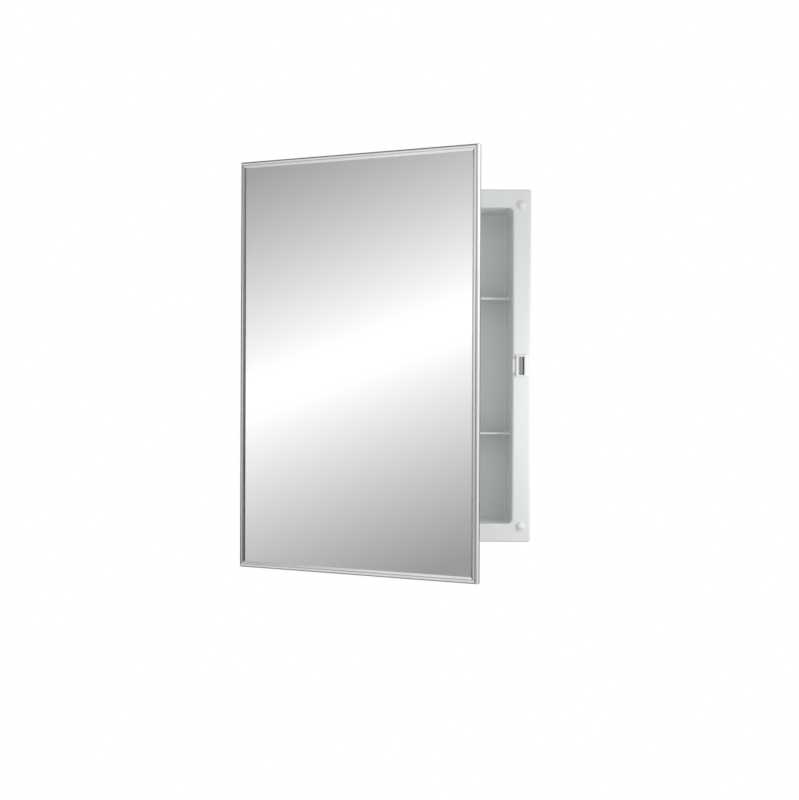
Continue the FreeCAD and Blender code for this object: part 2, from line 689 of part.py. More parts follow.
# ---- door frame: four roll-formed rails with mitred corners ----
def section(place):
    """The rail's section. place(inwards, rearwards) gives a point in the sketch."""
    tuck = "(frame_corner + side_flat)"
    steps = [
        ("frame_lip", "bevel_depth"),
        ("frame_lip - bevel_width", "0"),
        ("frame_corner", "0", "frame_corner"),
        ("0", "frame_corner"),
        ("0", tuck, "hem_curve"),
        ("frame_hem", "door_thick"),
        (back_lip, "door_thick"),
        (back_lip, "door_thick - frame_sheet"),
        ("frame_hem + frame_sheet", "door_thick - frame_sheet", "-hem_curve"),
        ("frame_sheet", tuck),
        ("frame_sheet", "frame_corner", "-(frame_corner - frame_sheet)"),
        ("frame_corner", "frame_sheet"),
        ("frame_lip - bevel_width", "frame_sheet"),
        ("frame_lip", "bevel_depth + frame_sheet"),
    ]
    return [place(*step) for step in steps]


def turned(step, across, up, flip):
    """A corner of the section in the sketch, with its arc's side kept or flipped."""
    radius = step[2:] and (("-" if flip else "") + f"({step[2]})",)
    return (across, up, *radius)


def make_rail(name):
    body = new_body(f"frame_{name}", in_door=True)
    upright = name in ("left", "right")
    plane = "XY_Plane" if upright else "YZ_Plane"
    rail = new_sketch(body, "section", plane, "0" if upright else hinge_reach)

    def place(inwards, rearwards, *radius):
        depth = f"{door_front} + {rearwards}"
        edges = {
            "left": (f"{door_left} + {inwards}", depth, True),
            "right": (f"{door_right} - ({inwards})", depth, False),
            "top": (depth, f"{door_top} - ({inwards})", True),
            "bottom": (depth, f"-{door_top} + {inwards}", False),
        }
        across, up, flip = edges[name]
        return turned((inwards, rearwards, *radius), across, up, flip)

    outline(rail, section(place))
    pad(rail, f"2 * {door_top if upright else door_half}", centred=True)

    mitres = new_sketch(body, "mitres", "XZ_Plane")
    spare = "frame_corner"  # the cut starts this far outside the door
    for hand in ("", "-"):
        if upright:
            edge, way = (door_left, "") if name == "left" else (door_right, "-")
            outline(
                mitres,
                [
                    (f"{edge} - ({way}{spare})", f"{hand}({door_top} + {spare})"),
                    (f"{edge} + ({way}({back_lip} + {spare}))", f"{hand}({door_top} + {spare})"),
                    (f"{edge} + ({way}({back_lip} + {spare}))", f"{hand}({door_top} - {back_lip} - {spare})"),
                ],
            )
        else:
            end = "-" if name == "bottom" else ""
            side = f"({hinge_reach} + ({hand}{door_half}))"
            outline(
                mitres,
                [
                    (f"{side} + ({hand}{spare})", f"{end}({door_top} + {spare})"),
                    (f"{side} + ({hand}{spare})", f"{end}({door_top} - {back_lip} - {spare})"),
                    (f"{side} - ({hand}({back_lip} + {spare}))", f"{end}({door_top} - {back_lip} - {spare})"),
                ],
            )
    pocket(mitres)
    if name == "left":
        cut_hinge_rivets(body)


def make_corner_key(end_name, end, side_name, edge, way):
    body = new_body(f"corner_key_{end_name}_{side_name}", in_door=True)
    depth = f"(-({door_front}) - frame_corner - frame_sheet)"
    shape = new_sketch(body, "shape", "XZ_Plane", depth)

    def place(across, down):
        return (f"{edge} + ({way}({across}))", f"{end}({door_top} - ({down}))")

    inner = f"({key_inset} + key_width)"
    reach = f"({key_inset} + key_length)"
    outline(
        shape,
        [
            place(key_inset, key_inset),
            place(reach, key_inset),
            place(reach, inner),
            place(inner, inner),
            place(inner, reach),
            place(key_inset, reach),
        ],
    )
    pad(shape, "door_thick - frame_corner - 2 * frame_sheet", backwards=True)


# ---- mirror, pad and back panel, a stack held by the frame's lips ----
def make_layer(label, front, rear, rivet_radius=None):
    body = new_body(label, in_door=True)
    sheet_outline = new_sketch(body, "outline", "XZ_Plane", f"-({rear})")
    rectangle(
        sheet_outline,
        f"{door_left} + {glass_inset}",
        f"{door_right} - {glass_inset}",
        f"-{door_top} + {glass_inset}",
        f"{door_top} - {glass_inset}",
    )
    pad(sheet_outline, f"{rear} - {front}")
    if rivet_radius:
        cut_hinge_rivets(body, rivet_radius)
        cut_strike_rivets(body, rivet_radius)


def cut_hinge_rivets(body, radius=rivet_hole):
    holes = new_sketch(body, "hinge_rivet_holes", "XZ_Plane")
    circle(holes, "door_rivet_line", f"-(door_rivet_count - 1) * {rivet_spacing} / 2", radius)
    column(pocket(holes), holes, "door_rivet_count", rivet_spacing)


def cut_strike_rivets(body, radius=rivet_hole):
    holes = new_sketch(body, "strike_rivet_holes", "XZ_Plane")
    for end in ("", "-"):
        circle(holes, f"{hinge_reach} + {catch_side}", f"{end}strike_rivets / 2", radius)
    pocket(holes)


def make_strike():
    body = new_body("strike_plate", in_door=True)
    plate = new_sketch(body, "plate", "XZ_Plane", f"-({strike_rear})")
    centre = f"({hinge_reach} + {catch_side})"
    rectangle(
        plate,
        f"{centre} - strike_width / 2",
        f"{centre} + strike_width / 2",
        "-strike_height / 2",
        "strike_height / 2",
    )
    pad(plate, "strike_thick")
    cut_strike_rivets(body)


make_shell()
for name, level in shelf_levels():
    make_shelf(name, level)
make_bumper("top", "")
make_bumper("bottom", "-")
make_catch()

make_leaf("hinge_cabinet_leaf", "", False, "flange_rivet_line", "flange_rivet_count", own_ends=True)
make_leaf("hinge_door_leaf", "-", True, "door_rivet_line", "door_rivet_count", own_ends=False)
make_pin()
make_rivets(
    "hinge_cabinet_rivets",
    False,
    "flange_rivet_line",
    f"({leaf_face} - leaf_thick)",
    f"({leaf_face} + flange_skin)",
    "rivet_tail",
    f"-(flange_rivet_count - 1) * {rivet_spacing} / 2",
    "flange_rivet_count",
    rivet_spacing,
)
make_rivets(
    "hinge_door_rivets",
    True,
    "door_rivet_line",
    f"({door_rear} + leaf_thick)",
    panel_front,
    f"({pad_thick} * pad_filled)",
    f"-(door_rivet_count - 1) * {rivet_spacing} / 2",
    "door_rivet_count",
    rivet_spacing,
)

for name in ("left", "right", "top", "bottom"):
    make_rail(name)
for end_name, end in (("top", ""), ("bottom", "-")):
    make_corner_key(end_name, end, "left", door_left, "")
    make_corner_key(end_name, end, "right", door_right, "-")
make_layer("mirror_glass", glass_front, glass_rear)
make_layer("mirror_pad", glass_rear, panel_front, "(rivet_head + pad_hole_clearance)")
make_layer("door_back_panel", panel_front, panel_rear, rivet_hole)
make_strike()
make_rivets(
    "strike_rivets",
    True,
    f"({hinge_reach} + {catch_side})",
    strike_rear,
    panel_front,
    f"({pad_thick} * pad_filled)",
    "-strike_rivets / 2",
    "2",
    "strike_rivets",
)

# ---- checks, then one file for each piece ----
doc.recompute()
for item in doc.Objects:
    if "Invalid" in item.State or "Error" in item.State:
        raise ValueError(f"{item.Name} failed: {item.State}")
pieces = [item for item in doc.Objects if item.TypeId == "PartDesign::Body"]
for piece in pieces:
    shape = piece.Shape
    if shape.isNull() or not shape.isValid() or not shape.Solids:
        raise ValueError(f"{piece.Label} has no valid solid")
for piece in pieces:
    piece.Shape.exportStep(f"parts/{piece.Label}.step")
    print(f"{piece.Label:24s} solids {len(piece.Shape.Solids):2d}  volume {piece.Shape.Volume:10.1f}")
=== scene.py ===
import json
import math
import bmesh
import bpy
from mathutils import Matrix, Vector


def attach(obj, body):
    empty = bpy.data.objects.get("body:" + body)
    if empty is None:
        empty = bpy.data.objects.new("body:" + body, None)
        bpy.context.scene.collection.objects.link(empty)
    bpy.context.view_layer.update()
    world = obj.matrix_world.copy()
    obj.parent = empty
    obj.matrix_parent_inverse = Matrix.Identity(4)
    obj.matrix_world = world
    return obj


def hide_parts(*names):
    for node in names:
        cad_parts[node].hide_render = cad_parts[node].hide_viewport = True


# A recessed medicine cabinet with a framed mirror door, standing open.
# Metres throughout. X is to the right, Y goes into the wall and Z is up.
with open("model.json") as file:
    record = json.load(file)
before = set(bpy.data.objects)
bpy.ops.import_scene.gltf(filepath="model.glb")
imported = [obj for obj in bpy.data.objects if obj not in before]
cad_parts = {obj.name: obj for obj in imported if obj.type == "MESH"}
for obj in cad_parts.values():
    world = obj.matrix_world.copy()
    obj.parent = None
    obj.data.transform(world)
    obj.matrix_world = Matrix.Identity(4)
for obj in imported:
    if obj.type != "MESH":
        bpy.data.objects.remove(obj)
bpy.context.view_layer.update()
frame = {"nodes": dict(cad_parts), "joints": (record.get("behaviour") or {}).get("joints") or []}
print("frame loaded:", len(frame["nodes"]), "parts")

hinge = frame["joints"][0]
hingePoint = Vector(hinge["pos_m"])
doorAngle = math.radians(-hinge["range_deg"][0])  # how far the door stands open at rest
doorTurn = Matrix.Rotation(-doorAngle, 4, "Z")


def doorPlace(x, y, z):
    # a point given on the closed door, measured from the hinge axis, as it is now
    return hingePoint + doorTurn @ Vector((x, y, z))


# camera, angles in degrees
view = {"place": (0.0182, -3.0003, -0.0247), "turn": 0.121, "tilt": -0.446, "roll": 0.234,
        "lens": 97.31, "sensor": 36.0}
cameraData = bpy.data.cameras.new("camera")
cameraData.lens = view["lens"]
cameraData.sensor_width = view["sensor"]
cameraData.sensor_fit = "HORIZONTAL"
cameraObject = bpy.data.objects.new("camera", cameraData)
bpy.context.scene.collection.objects.link(cameraObject)
cameraObject.matrix_world = (Matrix.Translation(view["place"])
                             @ Matrix.Rotation(math.radians(view["turn"]), 4, "Z")
                             @ Matrix.Rotation(math.radians(90 + view["tilt"]), 4, "X")
                             @ Matrix.Rotation(math.radians(view["roll"]), 4, "Z"))
bpy.context.scene.camera = cameraObject
print("camera placed")


def newGroup(name, inputs, outputs):
    group = bpy.data.node_groups.new(name, "ShaderNodeTree")
    for label, kind, start in inputs:
        socket = group.interface.new_socket(name=label, in_out="INPUT", socket_type=kind)
        socket.default_value = start
    for label, kind in outputs:
        group.interface.new_socket(name=label, in_out="OUTPUT", socket_type=kind)
    return group, group.nodes.new("NodeGroupInput"), group.nodes.new("NodeGroupOutput")


def addNode(tree, kind, **settings):
    node = tree.nodes.new(kind)
    for key, setting in settings.items():
        setattr(node, key, setting)
    return node


def mathNode(tree, operation, first, second=None, third=None):
    node = addNode(tree, "ShaderNodeMath", operation=operation)
    for index, source in enumerate((first, second, third)):
        if source is None:
            continue
        if isinstance(source, (int, float)):
            node.inputs[index].default_value = source
        else:
            tree.links.new(source, node.inputs[index])
    return node.outputs[0]


def rangeNode(tree, source, fromMin, fromMax, toMin=0.0, toMax=1.0):
    node = addNode(tree, "ShaderNodeMapRange", interpolation_type="SMOOTHSTEP")
    tree.links.new(source, node.inputs["Value"])
    for label, number in (("From Min", fromMin), ("From Max", fromMax), ("To Min", toMin), ("To Max", toMax)):
        node.inputs[label].default_value = number
    return node.outputs["Result"]


# moulded plastic: noise scales are in cells a metre
moulding = {"grain": 1400.0, "fineDetail": 3.0, "ripple": 18.0, "slowDetail": 1.0, "rippleShare": 0.3}


def makeMouldedGrain():
    # the fine sandy skin of moulded plastic, with the slow ripple of a thin wall under it
    group, start, end = newGroup(
        "mouldedGrain",
        [("Grain", "NodeSocketFloat", moulding["grain"]), ("Ripple", "NodeSocketFloat", moulding["ripple"]),
         ("Ripple Share", "NodeSocketFloat", moulding["rippleShare"])],
        [("Height", "NodeSocketFloat")])
    place = addNode(group, "ShaderNodeTexCoord")
    fine = addNode(group, "ShaderNodeTexNoise")
    slow = addNode(group, "ShaderNodeTexNoise")
    fine.inputs["Detail"].default_value = moulding["fineDetail"]
    slow.inputs["Detail"].default_value = moulding["slowDetail"]
    for texture, scale in ((fine, "Grain"), (slow, "Ripple")):
        group.links.new(place.outputs["Object"], texture.inputs["Vector"])
        group.links.new(start.outputs[scale], texture.inputs["Scale"])
    rippled = mathNode(group, "MULTIPLY", slow.outputs["Fac"], start.outputs["Ripple Share"])
    group.links.new(mathNode(group, "ADD", fine.outputs["Fac"], rippled), end.inputs["Height"])
    return group


drift = {"scale": 12.0, "steelScale": 30.0, "detail": 5.0, "roughness": 0.6, "low": 0.3, "high": 0.7}


def makeUnevenTone():
    # two tones of one finish, drifting slowly over the surface
    group, start, end = newGroup(
        "unevenTone",
        [("Tone", "NodeSocketColor", (0.8, 0.8, 0.8, 1)),
         ("Other Tone", "NodeSocketColor", (0.75, 0.75, 0.75, 1)),
         ("Scale", "NodeSocketFloat", drift["scale"]), ("Smooth", "NodeSocketFloat", 0.3),
         ("Rough", "NodeSocketFloat", 0.45)],
        [("Color", "NodeSocketColor"), ("Roughness", "NodeSocketFloat")])
    place = addNode(group, "ShaderNodeTexCoord")
    cloud = addNode(group, "ShaderNodeTexNoise")
    cloud.inputs["Detail"].default_value = drift["detail"]
    cloud.inputs["Roughness"].default_value = drift["roughness"]
    group.links.new(place.outputs["Object"], cloud.inputs["Vector"])
    group.links.new(start.outputs["Scale"], cloud.inputs["Scale"])
    mix = addNode(group, "ShaderNodeMix", data_type="RGBA")
    group.links.new(cloud.outputs["Fac"], mix.inputs["Factor"])
    group.links.new(start.outputs["Tone"], mix.inputs["A"])
    group.links.new(start.outputs["Other Tone"], mix.inputs["B"])
    group.links.new(mix.outputs["Result"], end.inputs["Color"])
    spread = addNode(group, "ShaderNodeMapRange")
    group.links.new(cloud.outputs["Fac"], spread.inputs["Value"])
    spread.inputs["From Min"].default_value = drift["low"]
    spread.inputs["From Max"].default_value = drift["high"]
    group.links.new(start.outputs["Smooth"], spread.inputs["To Min"])
    group.links.new(start.outputs["Rough"], spread.inputs["To Max"])
    group.links.new(spread.outputs["Result"], end.inputs["Roughness"])
    return group


# polishing lines: along says how far the noise is stretched on each axis
polish = {"fineness": 6000.0, "detail": 4.0, "upright": (1, 1, 0.004), "level": (0.004, 1, 1),
          "plated": (1, 1, 0.05), "even": (1, 1, 1)}


def makeDrawnLines():
    # fine lines that run along one axis of the turned coordinates
    group, start, end = newGroup(
        "drawnLines",
        [("Turn", "NodeSocketFloat", 0.0), ("Along", "NodeSocketVector", polish["even"]),
         ("Fineness", "NodeSocketFloat", polish["fineness"])],
        [("Height", "NodeSocketFloat")])
    place = addNode(group, "ShaderNodeTexCoord")
    turned = addNode(group, "ShaderNodeVectorRotate", rotation_type="Z_AXIS")
    stretched = addNode(group, "ShaderNodeVectorMath", operation="MULTIPLY")
    lines = addNode(group, "ShaderNodeTexNoise")
    lines.inputs["Detail"].default_value = polish["detail"]
    group.links.new(place.outputs["Object"], turned.inputs["Vector"])
    group.links.new(start.outputs["Turn"], turned.inputs["Angle"])
    group.links.new(turned.outputs["Vector"], stretched.inputs[0])
    group.links.new(start.outputs["Along"], stretched.inputs[1])
    group.links.new(stretched.outputs["Vector"], lines.inputs["Vector"])
    group.links.new(start.outputs["Fineness"], lines.inputs["Scale"])
    group.links.new(lines.outputs["Fac"], end.inputs["Height"])
    return group


mouldedGrain = makeMouldedGrain()
unevenTone = makeUnevenTone()
drawnLines = makeDrawnLines()
print("node groups made")


def newMaterial(name):
    material = bpy.data.materials.new(name)
    material.use_nodes = True
    return material, material.node_tree, material.node_tree.nodes["Principled BSDF"]


def placeGroup(tree, group, values):
    node = addNode(tree, "ShaderNodeGroup")
    node.node_tree = group
    for key, setting in values.items():
        node.inputs[key].default_value = setting
    return node


def addSurface(tree, shader, look, values):
    # the drifting tone and roughness of one finish
    surface = placeGroup(tree, unevenTone, {"Tone": (*look["tone"], 1), "Other Tone": (*look["otherTone"], 1),
                                            "Smooth": look["smooth"], "Rough": look["rough"], **values})
    tree.links.new(surface.outputs["Color"], shader.inputs["Base Color"])
    tree.links.new(surface.outputs["Roughness"], shader.inputs["Roughness"])


def addBump(tree, shader, height, depth):
    bump = addNode(tree, "ShaderNodeBump")
    bump.inputs["Strength"].default_value = 1.0
    bump.inputs["Distance"].default_value = depth
    tree.links.new(height, bump.inputs["Height"])
    tree.links.new(bump.outputs["Normal"], shader.inputs["Normal"])


plasticIor = 1.49
# each finish drifts between two tones, and between its smooth and rough roughness
plastics = {
    "whitePlastic": {"tone": (0.79, 0.81, 0.805), "otherTone": (0.77, 0.795, 0.79), "smooth": 0.32,
                     "rough": 0.44, "grainDepth": 0.00002},
    "bumperPlastic": {"tone": (0.80, 0.81, 0.82), "otherTone": (0.77, 0.78, 0.80), "smooth": 0.25,
                      "rough": 0.35, "grainDepth": 0.00001},
    "catchPlastic": {"tone": (0.83, 0.845, 0.845), "otherTone": (0.81, 0.825, 0.825), "smooth": 0.35,
                     "rough": 0.45, "grainDepth": 0.00002},
    "magnetCeramic": {"tone": (0.05, 0.05, 0.05), "otherTone": (0.09, 0.09, 0.085), "smooth": 0.55,
                      "rough": 0.8, "grainDepth": 0.00008, "grain": 2600.0, "rippleShare": 0.1},
    "keyPlastic": {"tone": (0.06, 0.06, 0.06), "otherTone": (0.08, 0.08, 0.08), "smooth": 0.4,
                   "rough": 0.55, "grainDepth": 0.00002},
    "padBoard": {"tone": (0.50, 0.45, 0.36), "otherTone": (0.44, 0.39, 0.31), "smooth": 0.8,
                 "rough": 0.95, "grainDepth": 0.00008},
    "whitePaint": {"tone": (0.84, 0.84, 0.83), "otherTone": (0.825, 0.825, 0.815), "smooth": 0.28,
                   "rough": 0.34, "grainDepth": 0.00003, "grain": 520.0, "rippleShare": 0.0},
}


def makePlastic(name, look):
    material, tree, shader = newMaterial(name)
    addSurface(tree, shader, look, {})
    shader.inputs["IOR"].default_value = plasticIor
    skin = placeGroup(tree, mouldedGrain, {"Grain": look.get("grain", moulding["grain"]),
                                           "Ripple": moulding["ripple"],
                                           "Ripple Share": look.get("rippleShare", moulding["rippleShare"])})
    addBump(tree, shader, skin.outputs["Height"], look["grainDepth"])
    return material


steels = {
    "uprightSteel": {"tone": (0.80, 0.81, 0.785), "otherTone": (0.76, 0.77, 0.745), "smooth": 0.16,
                     "rough": 0.22, "along": polish["upright"], "lineDepth": 0.0000003, "turn": doorAngle},
    "levelSteel": {"tone": (0.80, 0.81, 0.785), "otherTone": (0.76, 0.77, 0.745), "smooth": 0.16,
                   "rough": 0.22, "along": polish["level"], "lineDepth": 0.0000003, "turn": doorAngle},
    "zincSteel": {"tone": (0.55, 0.56, 0.55), "otherTone": (0.46, 0.47, 0.47), "smooth": 0.28,
                  "rough": 0.42, "along": polish["plated"], "lineDepth": 0.000004},
    "poleSteel": {"tone": (0.72, 0.73, 0.72), "otherTone": (0.62, 0.63, 0.62), "smooth": 0.42,
                  "rough": 0.55, "along": polish["plated"], "lineDepth": 0.000003},
    "rivetSteel": {"tone": (0.6, 0.61, 0.6), "otherTone": (0.5, 0.51, 0.5), "smooth": 0.2,
                   "rough": 0.35, "along": polish["even"], "lineDepth": 0.000004},
}


def makeSteel(name, look):
    material, tree, shader = newMaterial(name)
    addSurface(tree, shader, look, {"Scale": drift["steelScale"]})
    shader.inputs["Metallic"].default_value = 1.0
    lines = placeGroup(tree, drawnLines, {"Turn": look.get("turn", 0.0), "Along": look["along"],
                                          "Fineness": polish["fineness"]})
    addBump(tree, shader, lines.outputs["Height"], look["lineDepth"])
    return material


mirrorLook = {"silver": (0.955, 0.957, 0.962, 1), "glass": (0.995, 0.996, 0.996, 1), "ior": 1.52}


def makeSilver():
    material, tree, shader = newMaterial("silverCoat")
    shader.inputs["Base Color"].default_value = mirrorLook["silver"]
    shader.inputs["Metallic"].default_value = 1.0
    shader.inputs["Roughness"].default_value = 0.0
    return material


def makeClearGlass():
    material, tree, shader = newMaterial("clearGlass")
    shader.inputs["Base Color"].default_value = mirrorLook["glass"]
    shader.inputs["Transmission Weight"].default_value = 1.0
    shader.inputs["Roughness"].default_value = 0.0
    shader.inputs["IOR"].default_value = mirrorLook["ior"]
    return material


finishes = {name: makePlastic(name, look) for name, look in plastics.items()}
finishes.update({name: makeSteel(name, look) for name, look in steels.items()})
finishes["silverCoat"] = makeSilver()
finishes["clearGlass"] = makeClearGlass()

finishOfPart = {
    "cabinet_shell": "whitePlastic", "upper_shelf": "whitePlastic", "lower_shelf": "whitePlastic",
    "bumper_top": "bumperPlastic", "bumper_bottom": "bumperPlastic", "catch_housing": "catchPlastic",
    "catch_magnet": "magnetCeramic", "catch_pole_left": "poleSteel", "catch_pole_right": "poleSteel",
    "hinge_cabinet_leaf": "zincSteel", "hinge_door_leaf": "zincSteel", "hinge_pin": "rivetSteel",
    "hinge_cabinet_rivets": "rivetSteel", "hinge_door_rivets": "rivetSteel", "strike_rivets": "rivetSteel",
    "strike_plate": "zincSteel", "frame_left": "uprightSteel", "frame_right": "uprightSteel",
    "frame_top": "levelSteel", "frame_bottom": "levelSteel", "mirror_glass": "silverCoat",
    "mirror_pad": "padBoard", "door_back_panel": "whitePaint",
    "corner_key_top_left": "keyPlastic", "corner_key_top_right": "keyPlastic",
    "corner_key_bottom_left": "keyPlastic", "corner_key_bottom_right": "keyPlastic",
}
for partName, part in frame["nodes"].items():
    part.data.materials.clear()
    part.data.materials.append(finishes[finishOfPart[partName]])
print("finishes given")


def addObject(name, verts, faces, finish=None):
    mesh = bpy.data.meshes.new(name)
    mesh.from_pydata(verts, [], faces)
    mesh.materials.append(finish)
    piece = bpy.data.objects.new(name, mesh)
    bpy.context.scene.collection.objects.link(piece)
    return piece


def closedDoorBox(partName):
    # the part's box as measured along the closed door, from the hinge axis
    back = doorTurn.inverted()
    points = [back @ (v.co - hingePoint) for v in frame["nodes"][partName].data.vertices]
    low = Vector([min(p[i] for p in points) for i in range(3)])
    high = Vector([max(p[i] for p in points) for i in range(3)])
    return low, high


# mirror: a clear pane with ground edges, and a silver coat behind it
# depth is where the reflecting face seems to lie, seen through the glass
pane = {"edgeGrind": 0.0003, "coatGap": 0.00002, "depth": 0.0007}


def makePane():
    low, high = closedDoorBox("mirror_glass")
    grind = pane["edgeGrind"]
    rear = low.y + pane["depth"]
    rings = []
    for inset, depth in ((grind, low.y), (0.0, low.y + grind), (0.0, rear - grind), (grind, rear)):
        rings.append([(low.x + inset, depth, low.z + inset), (high.x - inset, depth, low.z + inset),
                      (high.x - inset, depth, high.z - inset), (low.x + inset, depth, high.z - inset)])
    verts = [doorPlace(*corner) for ring in rings for corner in ring]
    faces = [(0, 1, 2, 3), (15, 14, 13, 12)]
    for ring in range(3):
        for side in range(4):
            a, b = ring * 4 + side, ring * 4 + (side + 1) % 4
            faces.append((a, a + 4, b + 4, b))
    glass = addObject("mirrorPane", verts, faces, finishes["clearGlass"])
    coat = [doorPlace(x, y, z) for y in (rear + pane["coatGap"], high.y - pane["coatGap"])
            for x, z in ((low.x + grind, low.z + grind), (high.x - grind, low.z + grind),
                         (high.x - grind, high.z - grind), (low.x + grind, high.z - grind))]
    silver = addObject("mirrorSilver", coat, [(0, 1, 2, 3), (7, 6, 5, 4), (0, 4, 5, 1), (1, 5, 6, 2),
                                              (2, 6, 7, 3), (3, 7, 4, 0)], finishes["silverCoat"])
    for piece in (glass, silver):
        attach(piece, "door")
        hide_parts("mirror_glass")


makePane()
print("mirror made")

# frame: four rails of rolled sheet, mitred at the corners
# lip is the width of the front, and the rear part of the side curls in by hem
rail = {"sheet": 0.0006, "lip": 0.0084, "bevelWidth": 0.0028, "bevelDepth": 0.0015, "corner": 0.0034,
        "sideFlat": 0.002725, "hem": 0.0012, "hemCurve": 0.006, "hemTurns": 4, "bend": 0.0007,
        "rearBend": 0.0010, "mitreGap": 0.00006, "mitreRound": 0.00022, "mitreLean": 0.5, "turns": 7,
        "sharpFrom": 28}


def rounded(path, radii):
    # the path's corners turned into short arcs; each item is (inwards, rearwards)
    points = [path[0]]
    for before, corner, after, radius in zip(path, path[1:], path[2:], radii):
        a, b = Vector(before) - Vector(corner), Vector(after) - Vector(corner)
        half = a.angle(b) / 2
        reach = radius / math.tan(half)
        start, end = Vector(corner) + a.normalized() * reach, Vector(corner) + b.normalized() * reach
        centre = Vector(corner) + (a.normalized() + b.normalized()).normalized() * radius / math.sin(half)
        first, last = start - centre, end - centre
        sweep = first.angle_signed(last)
        for step in range(rail["turns"] + 1):
            points.append(tuple(centre + Matrix.Rotation(-sweep * step / rail["turns"], 2) @ first))
    points.append(path[-1])
    return points


def railOutline(depth, backLip):
    # the closed section of one rail, outer face first and then the inner face back again
    tuck = rail["corner"] + rail["sideFlat"]
    chord = Vector((rail["hem"], depth - tuck))
    rise = rail["hemCurve"] - math.sqrt(rail["hemCurve"] ** 2 - (chord.length / 2) ** 2)
    curl = []
    for step in range(1, rail["hemTurns"]):
        share = step / rail["hemTurns"]
        bulge = 4 * rise * share * (1 - share)
        point = Vector((0, tuck)) + chord * share + Vector((-chord.y, chord.x)).normalized() * bulge
        curl.append(tuple(point))
    outer = [(rail["lip"], rail["bevelDepth"]), (rail["lip"] - rail["bevelWidth"], 0), (0, 0), (0, tuck)]
    outer += curl + [(rail["hem"], depth), (backLip, depth)]
    radii = [rail["bend"], rail["corner"]] + [rail["bend"]] * (1 + len(curl)) + [rail["rearBend"]]
    outer = rounded(outer, radii)
    inner = []
    for index, point in enumerate(outer):
        along = Vector(outer[min(index + 1, len(outer) - 1)]) - Vector(outer[max(index - 1, 0)])
        inner.append(tuple(Vector(point) + Vector((-along.y, along.x)).normalized() * -rail["sheet"]))
    return outer + inner[::-1]


def easedOutline(loop):
    # the section drawn in a little, for the eased edge at a mitre
    drawnIn = []
    for index, point in enumerate(loop):
        along = (Vector(loop[(index + 1) % len(loop)]) - Vector(loop[index - 1])).normalized()
        across = Vector((along.y, -along.x)) * rail["mitreRound"] * rail["mitreLean"]
        drawnIn.append(tuple(Vector(point) + across))
    return drawnIn


def makeRails():
    low, high = closedDoorBox("frame_left")
    left, right, top, front = low.x, closedDoorBox("frame_right")[1].x, high.z, low.y
    loop = railOutline(high.y - low.y, high.x - low.x)
    count = len(loop)
    atJoint = (easedOutline(loop), rail["mitreGap"])
    besideJoint = (loop, rail["mitreGap"] + rail["mitreRound"])
    sections = [(-1, *atJoint), (-1, *besideJoint), (1, *besideJoint), (1, *atJoint)]
    faces = []
    for ring in range(len(sections) - 1):
        for step in range(count):
            a, b = ring * count + step, ring * count + (step + 1) % count
            faces.append((a, a + count, b + count, b))
    for base, flip in ((0, False), ((len(sections) - 1) * count, True)):
        for step in range(count // 2 - 1):
            face = (base + step, base + step + 1, base + count - 2 - step, base + count - 1 - step)
            faces.append(face[::-1] if flip else face)
    for name in ("left", "right", "top", "bottom"):
        upright = name in ("left", "right")
        verts = []
        for end, outline, back in sections:
            for inwards, rearwards in outline:
                offset = inwards + back  # a mitre runs at 45 degrees
                if upright:
                    x = left + inwards if name == "left" else right - inwards
                    z = end * (top - offset)
                else:
                    x = left + offset if end < 0 else right - offset
                    z = top - inwards if name == "top" else -(top - inwards)
                verts.append(doorPlace(x, front + rearwards, z))
        piece = addObject(f"rail_{name}", verts, faces, finishes["uprightSteel" if upright else "levelSteel"])
        finishMesh(piece)
        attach(piece, "door")
        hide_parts(f"frame_{name}")


def finishMesh(piece):
    # faces turned outwards, and shading smooth except across real corners
    mesh = bmesh.new()
    mesh.from_mesh(piece.data)
    bmesh.ops.recalc_face_normals(mesh, faces=mesh.faces)
    for face in mesh.faces:
        face.smooth = True
    for edge in mesh.edges:
        edge.smooth = edge.calc_face_angle(0) < math.radians(rail["sharpFrom"])
    mesh.to_mesh(piece.data)
    mesh.free()


makeRails()
print("frame made")

# a graded reflector on the left that only gloss sees, so the mirror has something to show
# its light band runs on a slope (lean) and falls off on both sides; towards points from the mirror to it
card = {"mirrorMiddle": (0.1972, -0.0084, 0.0), "towards": (-0.9747, -0.2236, 0.0), "distance": 1.5,
        "left": -0.47, "right": 0.95, "height": 2.4, "fade": 0.2, "tint": (0.975, 0.987, 1.0, 1),
        "middle": 0.030, "fall": 0.90, "peak": 1.05, "lean": 0.38, "gain": 1.05, "gamma": 2.2, "lowest": 0.61,
        "endStart": 0.425, "endFull": 0.58, "sideStart": 0.30, "sideFull": 0.62}


